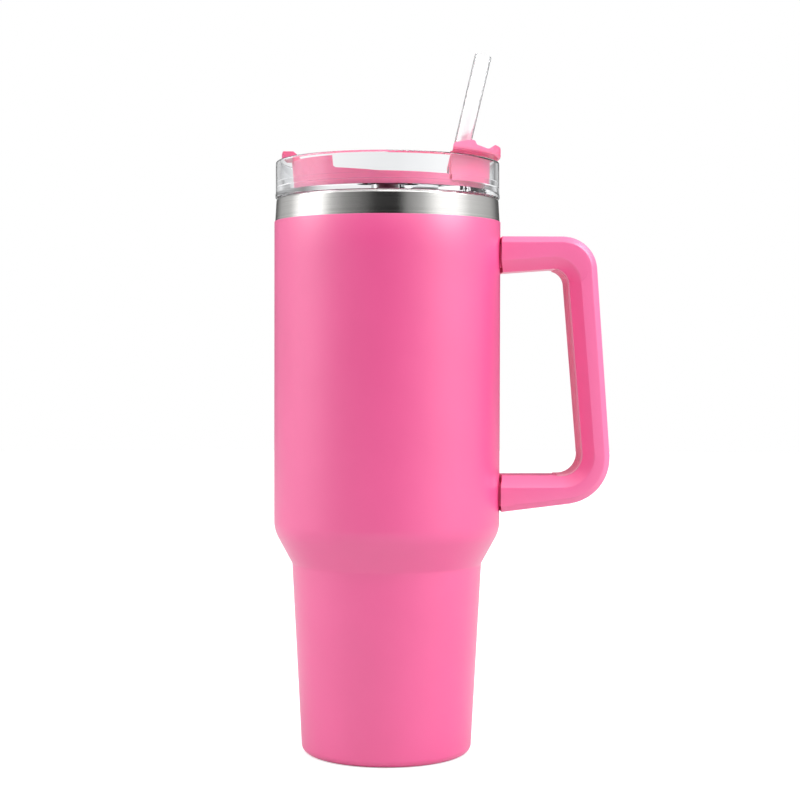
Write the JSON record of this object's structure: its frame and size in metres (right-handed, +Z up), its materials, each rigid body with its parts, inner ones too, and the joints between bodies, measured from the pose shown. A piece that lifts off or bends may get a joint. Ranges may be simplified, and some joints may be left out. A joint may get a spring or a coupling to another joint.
{
  "type": "insulated tumbler",
  "caption": "Tall vacuum-insulated steel tumbler with a tapered foot, side handle, clear press-in lid, turning drinking cover and straw.",
  "frame": {"origin": "centre of the underside of the base, on the body axis", "axes": "+Z up along the body axis, +X towards the handle"},
  "size_m": [0.147, 0.0994, 0.3078],
  "materials": {
    "steel": "brushed",
    "coat": "satin powder coat",
    "steel_inside": "electropolished",
    "plate_steel": "plain",
    "sealant": "fused",
    "getter_metal": "sintered",
    "base_pad": "matt",
    "bracket_coat": "satin powder coat over steel",
    "handle_pink": "satin",
    "grip_pink": "soft touch",
    "screw_steel": "plain",
    "brass": "knurled",
    "plug_pink": "matt",
    "clear": "clear moulded plastic",
    "silicone": "silicone",
    "cover_pink": "satin translucent",
    "cover_seal": "silicone",
    "clip_plastic": "plain",
    "straw_clear": "clear moulded plastic"
  },
  "bodies": {
    "cup": {"outer_shell": "steel", "powder_coat": "coat", "inner_liner": "steel_inside", "base_plate": "plate_steel", "seal_bead": "sealant", "getter": "getter_metal", "base_cover": "base_pad", "bracket_upper": "bracket_coat", "bracket_lower": "bracket_coat", "handle": "handle_pink", "handle_grip": "grip_pink", "handle_screws": "screw_steel", "handle_inserts": "brass", "screw_plugs": "plug_pink"},
    "lid": {"lid_body": "clear", "lid_gasket": "silicone"},
    "cover": {"rotor": "cover_pink", "rotor_seal": "cover_seal", "rotor_clip": "clip_plastic"},
    "straw": {"straw": "straw_clear"}
  },
  "joints": [
    {"name": "lid_lift", "type": "slide", "parent": "cup", "child": "lid", "axis": [0, 0, 1], "range_m": [0, 0.26]},
    {"name": "cover_turn", "type": "hinge", "parent": "lid", "child": "cover", "pos_m": [0, 0, 0.246], "axis": [0, 0, 1], "range_deg": [0, 70]},
    {"name": "straw_draw", "type": "slide", "parent": "cover", "child": "straw", "axis": [0.2266, 0, 0.974], "range_m": [0, 0.275]}
  ]
}
